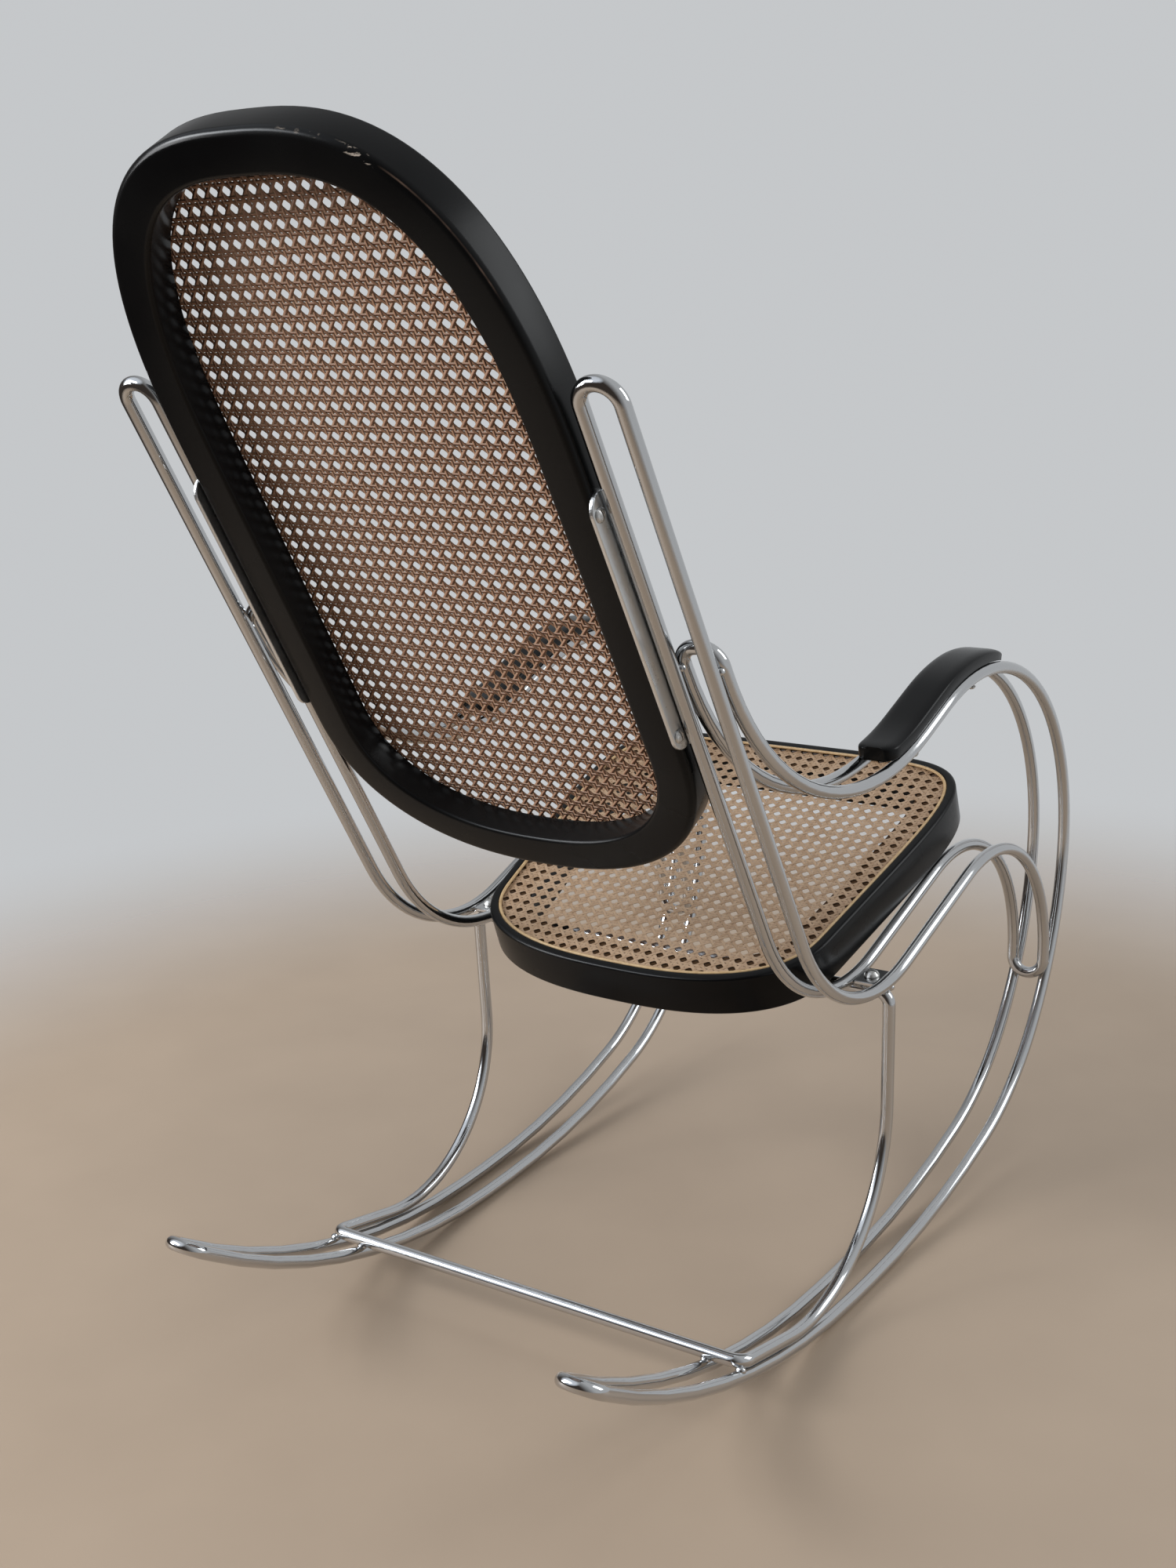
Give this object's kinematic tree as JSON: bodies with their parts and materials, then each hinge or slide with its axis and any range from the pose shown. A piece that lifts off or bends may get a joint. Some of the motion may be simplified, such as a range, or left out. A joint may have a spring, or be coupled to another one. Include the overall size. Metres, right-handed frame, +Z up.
{
  "type": "rocking chair",
  "caption": "Rocking chair of bent chrome tube side loops, with a woven cane seat and a tall oval cane back in black wooden frames, and black wooden armrests.",
  "frame": {"origin": "the middle of the chair's box, on the floor, close to where the rockers rest", "axes": "+X to the sitter's left, -Y to the front, +Z up"},
  "size_m": [0.5002, 0.9348, 1.0415],
  "materials": {
    "chrome": "bright chrome plate on bent steel tube",
    "black_wood": "black lacquered bentwood, half gloss, worn at the edges",
    "cane": "woven cane, honey tan, unpainted",
    "reed": "round reed spline",
    "screw_steel": "plain steel screw heads",
    "spacer_black": "black rubber"
  },
  "bodies": {
    "root": {"rocker_arm_loop_right": "chrome", "rocker_arm_loop_left": "chrome", "back_seat_loop_right": "chrome", "back_seat_loop_left": "chrome", "rear_hoop": "chrome", "back_bracket_right": "chrome", "back_bracket_left": "chrome", "seat_lug_right": "chrome", "seat_lug_left": "chrome", "back_frame": "black_wood", "seat_frame": "black_wood", "armrest_right": "black_wood", "armrest_left": "black_wood", "back_cane": "cane", "seat_cane": "cane", "back_spline": "reed", "seat_spline": "reed", "back_bracket_screw_right_upper": "screw_steel", "back_bracket_screw_right_lower": "screw_steel", "back_bracket_screw_left_upper": "screw_steel", "back_bracket_screw_left_lower": "screw_steel", "seat_bolt_right": "screw_steel", "seat_bolt_left": "screw_steel", "seat_screw_right": "screw_steel", "seat_screw_left": "screw_steel", "armrest_screw_right_front": "screw_steel", "armrest_screw_right_rear": "screw_steel", "armrest_screw_left_front": "screw_steel", "armrest_screw_left_rear": "screw_steel", "seat_spacer_right": "spacer_black", "seat_spacer_left": "spacer_black"}
  },
  "joints": []
}
